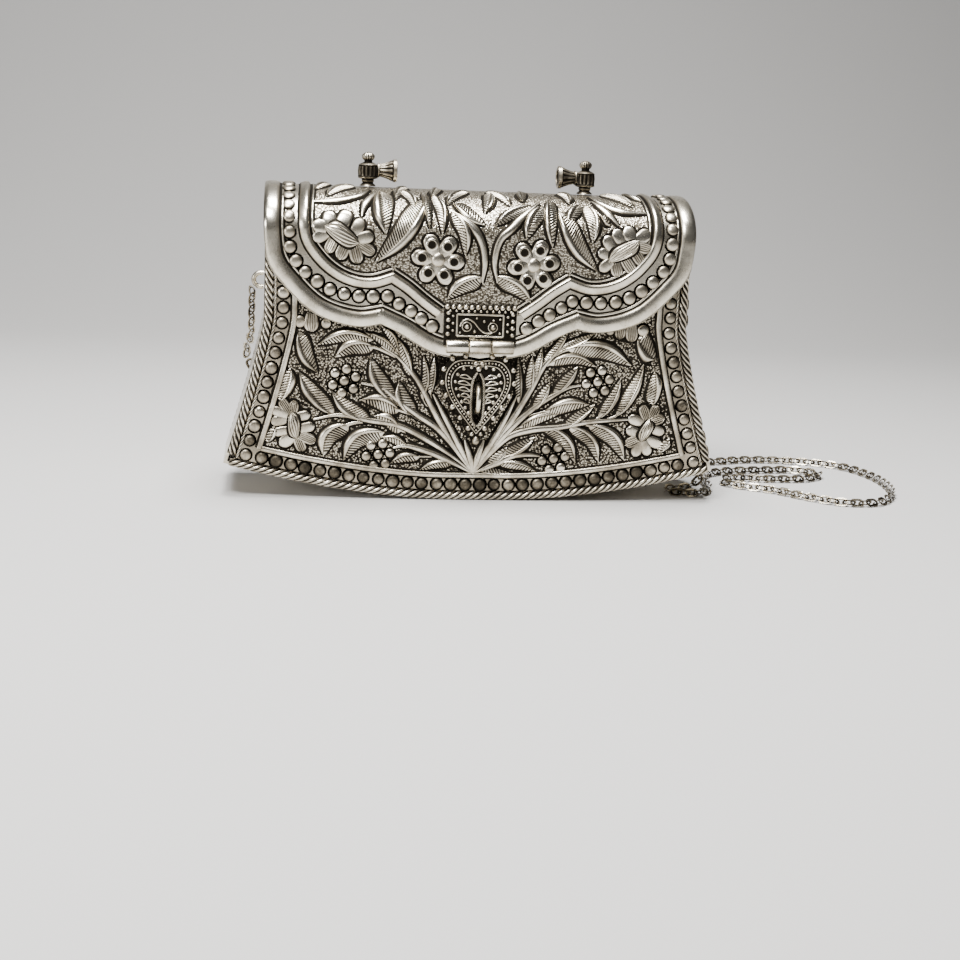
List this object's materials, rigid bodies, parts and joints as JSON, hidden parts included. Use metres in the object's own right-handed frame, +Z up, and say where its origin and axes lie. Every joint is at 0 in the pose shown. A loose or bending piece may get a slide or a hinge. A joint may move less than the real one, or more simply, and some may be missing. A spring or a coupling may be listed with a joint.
{
  "type": "box clutch bag",
  "caption": "Rigid metal box clutch with a curved base, embossed floral front, scalloped hinged flap, filigree hasp over a staple, handle lugs and a chain strap.",
  "frame": {"origin": "middle of the flat stretch of the base that the clutch stands on", "axes": "+Z up, the front with the clasp faces -Y, +X to the right as seen from the front"},
  "size_m": [0.3026, 0.102, 0.1423],
  "materials": {
    "panels": "oxidised white metal, chased relief rubbed bright, dark in the ground",
    "gusset": "plain oxidised white metal sheet, rubbed",
    "rope": "twisted white metal wire, dark between the strands",
    "fittings": "turned and bent white metal, rubbed bright",
    "clasp": "granulated and filigree white metal, bright",
    "chain": "linked white metal wire, worn"
  },
  "bodies": {
    "case": {"front_panel": "panels", "back_panel": "panels", "gusset": "gusset", "rope_front_left": "rope", "rope_front_base": "rope", "rope_front_right": "rope", "rope_back_left": "rope", "rope_back_base": "rope", "rope_back_right": "rope", "hinge_pin": "fittings", "staple": "fittings", "eyelet_left": "fittings", "eyelet_right": "fittings", "chain": "chain"},
    "flap": {"flap": "panels", "clasp_plate": "clasp", "clasp_pin": "clasp", "lug_left": "fittings", "lug_right": "fittings"},
    "hasp": {"hasp": "clasp"}
  },
  "joints": [
    {"name": "lid_hinge", "type": "hinge", "parent": "case", "child": "flap", "pos_m": [0, 0.0256, 0.111], "axis": [-1, 0, 0], "range_deg": [0, 115]},
    {"name": "hasp_hinge", "type": "hinge", "parent": "flap", "child": "hasp", "pos_m": [0, -0.0309, 0.0658], "axis": [-1, 0, 0], "range_deg": [0, 165]}
  ]
}
